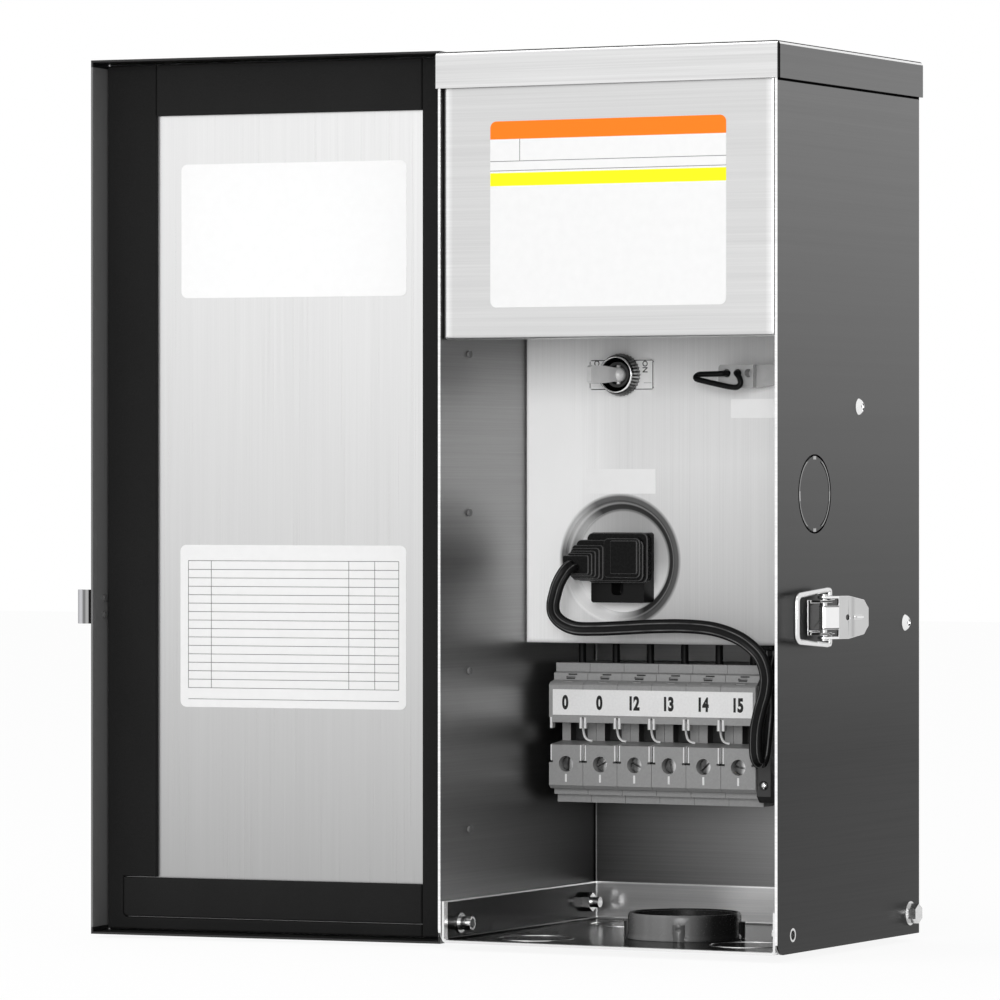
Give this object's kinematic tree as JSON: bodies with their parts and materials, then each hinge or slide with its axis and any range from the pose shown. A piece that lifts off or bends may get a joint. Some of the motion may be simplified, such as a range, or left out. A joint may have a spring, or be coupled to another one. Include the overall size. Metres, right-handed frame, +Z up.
{
  "type": "low voltage landscape lighting transformer",
  "caption": "Wall cabinet of folded stainless sheet with a hinged door, a draw latch, output terminals on a rail, a toggle switch, a timer outlet with a plug, and a toroidal transformer inside.",
  "frame": {"origin": "centre of the cabinet's back face, which lies on the wall", "axes": "+X to the right seen from the front, +Y out of the back face into the wall, +Z up"},
  "size_m": [0.3801, 0.1639, 0.4098],
  "materials": {
    "stainless_outer": "stainless sheet with a fine vertical brushed grain",
    "stainless_inner": "bright stainless sheet with a brushed grain",
    "tray_sheet": "smooth dark reflecting sheet",
    "bright_steel": "bright plated steel",
    "grey_moulding": "fine-textured grey polyamide",
    "dark_grey_moulding": "matte dark grey polyamide",
    "white_card": "matt white strip",
    "black_moulding": "black polyamide with a slight sheen",
    "cord_jacket": "black flexible jacket with a soft gloss",
    "brass_parts": "plain brass",
    "copper_bar": "plain copper",
    "legend_plate": "satin plate with a dark border",
    "clear_moulding": "clear grey moulding",
    "winding_tape": "overlapping polyester tape over the windings",
    "rubber_pad": "plain black rubber",
    "foam_gasket": "closed-cell black foam"
  },
  "bodies": {
    "cabinet": {"cabinet_shell": "stainless_outer", "floor_tray": "tray_sheet", "roof_cap": "stainless_outer", "fascia_panel": "stainless_inner", "chassis_panel": "stainless_inner", "conduit_bushing": "black_moulding", "tray_fasteners": "bright_steel", "chassis_screws": "bright_steel", "din_rail": "bright_steel", "blind_rivets": "bright_steel", "terminal_1": "grey_moulding", "terminal_2": "grey_moulding", "terminal_3": "grey_moulding", "terminal_4": "grey_moulding", "terminal_5": "grey_moulding", "terminal_6": "grey_moulding", "current_bars": "copper_bar", "end_stop": "dark_grey_moulding", "end_stop_screws": "bright_steel", "marker_strip": "white_card", "receptacle": "black_moulding", "plug_body": "black_moulding", "plug_blades": "brass_parts", "plug_cord": "cord_jacket", "strain_relief": "black_moulding", "toggle_body": "black_moulding", "toggle_nut": "bright_steel", "toggle_plate": "legend_plate", "splice_connector": "clear_moulding", "jumper_wire": "cord_jacket", "toroid": "winding_tape", "toroid_pads": "rubber_pad", "toroid_washer": "bright_steel", "toroid_bolt": "bright_steel", "secondary_leads": "cord_jacket", "hinge_cabinet_leaf": "bright_steel", "hinge_pin": "bright_steel", "latch_base": "bright_steel", "latch_pin": "bright_steel", "latch_spring": "bright_steel"},
    "door": {"door_pan": "stainless_outer", "door_gaskets": "foam_gasket", "hinge_door_leaf": "bright_steel", "door_rivets": "bright_steel", "latch_keeper": "bright_steel"},
    "latch_lever": {"latch_lever": "bright_steel"},
    "latch_bail": {"latch_bail": "bright_steel"},
    "toggle_lever": {"toggle_lever": "bright_steel"},
    "clamp_screw_1": {"clamp_screw_1": "bright_steel"},
    "clamp_screw_2": {"clamp_screw_2": "bright_steel"},
    "clamp_screw_3": {"clamp_screw_3": "bright_steel"},
    "clamp_screw_4": {"clamp_screw_4": "bright_steel"},
    "clamp_screw_5": {"clamp_screw_5": "bright_steel"},
    "clamp_screw_6": {"clamp_screw_6": "bright_steel"},
    "clamp_cage_1": {"clamp_cage_1": "brass_parts"},
    "clamp_cage_2": {"clamp_cage_2": "brass_parts"},
    "clamp_cage_3": {"clamp_cage_3": "brass_parts"},
    "clamp_cage_4": {"clamp_cage_4": "brass_parts"},
    "clamp_cage_5": {"clamp_cage_5": "brass_parts"},
    "clamp_cage_6": {"clamp_cage_6": "brass_parts"}
  },
  "joints": [
    {"name": "door_hinge", "type": "hinge", "parent": "cabinet", "child": "door", "pos_m": [-0.09, -0.1455, 0], "axis": [0, 0, 1], "range_deg": [-16.4, 173.6]},
    {"name": "lever_pivot", "type": "hinge", "parent": "cabinet", "child": "latch_lever", "pos_m": [0.0906, -0.122, -0.0537], "axis": [0, 0, 1], "range_deg": [-135, 5]},
    {"name": "bail_pivot", "type": "hinge", "parent": "latch_lever", "child": "latch_bail", "pos_m": [0.09, -0.115, -0.0537], "axis": [0, 0, 1], "range_deg": [-5, 135]},
    {"name": "toggle_pivot", "type": "hinge", "parent": "cabinet", "child": "toggle_lever", "pos_m": [-0.033, -0.0793, 0.0568], "axis": [0, 0, 1], "range_deg": [0, 31]},
    {"name": "screw_turn_1", "type": "hinge", "parent": "cabinet", "child": "clamp_screw_1", "pos_m": [-0.0675, -0.062, -0.1249], "axis": [0, -1, 0], "range_deg": [-1540, 0]},
    {"name": "screw_turn_2", "type": "hinge", "parent": "cabinet", "child": "clamp_screw_2", "pos_m": [-0.0497, -0.062, -0.1249], "axis": [0, -1, 0], "range_deg": [-1540, 0]},
    {"name": "screw_turn_3", "type": "hinge", "parent": "cabinet", "child": "clamp_screw_3", "pos_m": [-0.0319, -0.062, -0.1249], "axis": [0, -1, 0], "range_deg": [-1540, 0]},
    {"name": "screw_turn_4", "type": "hinge", "parent": "cabinet", "child": "clamp_screw_4", "pos_m": [-0.0141, -0.062, -0.1249], "axis": [0, -1, 0], "range_deg": [-1540, 0]},
    {"name": "screw_turn_5", "type": "hinge", "parent": "cabinet", "child": "clamp_screw_5", "pos_m": [0.0037, -0.062, -0.1249], "axis": [0, -1, 0], "range_deg": [-1540, 0]},
    {"name": "screw_turn_6", "type": "hinge", "parent": "cabinet", "child": "clamp_screw_6", "pos_m": [0.0215, -0.062, -0.1249], "axis": [0, -1, 0], "range_deg": [-1540, 0]},
    {"name": "cage_slide_1", "type": "slide", "parent": "cabinet", "child": "clamp_cage_1", "axis": [0, -1, 0], "range_m": [0, 0.003]},
    {"name": "cage_slide_2", "type": "slide", "parent": "cabinet", "child": "clamp_cage_2", "axis": [0, -1, 0], "range_m": [0, 0.003]},
    {"name": "cage_slide_3", "type": "slide", "parent": "cabinet", "child": "clamp_cage_3", "axis": [0, -1, 0], "range_m": [0, 0.003]},
    {"name": "cage_slide_4", "type": "slide", "parent": "cabinet", "child": "clamp_cage_4", "axis": [0, -1, 0], "range_m": [0, 0.003]},
    {"name": "cage_slide_5", "type": "slide", "parent": "cabinet", "child": "clamp_cage_5", "axis": [0, -1, 0], "range_m": [0, 0.003]},
    {"name": "cage_slide_6", "type": "slide", "parent": "cabinet", "child": "clamp_cage_6", "axis": [0, -1, 0], "range_m": [0, 0.003]}
  ],
  "couplings": [
    {"joint": "bail_pivot", "follows": "lever_pivot", "ratio": -1},
    {"joint": "screw_turn_1", "follows": "cage_slide_1", "rad_per_m": -8958},
    {"joint": "screw_turn_2", "follows": "cage_slide_2", "rad_per_m": -8958},
    {"joint": "screw_turn_3", "follows": "cage_slide_3", "rad_per_m": -8958},
    {"joint": "screw_turn_4", "follows": "cage_slide_4", "rad_per_m": -8958},
    {"joint": "screw_turn_5", "follows": "cage_slide_5", "rad_per_m": -8958},
    {"joint": "screw_turn_6", "follows": "cage_slide_6", "rad_per_m": -8958}
  ]
}
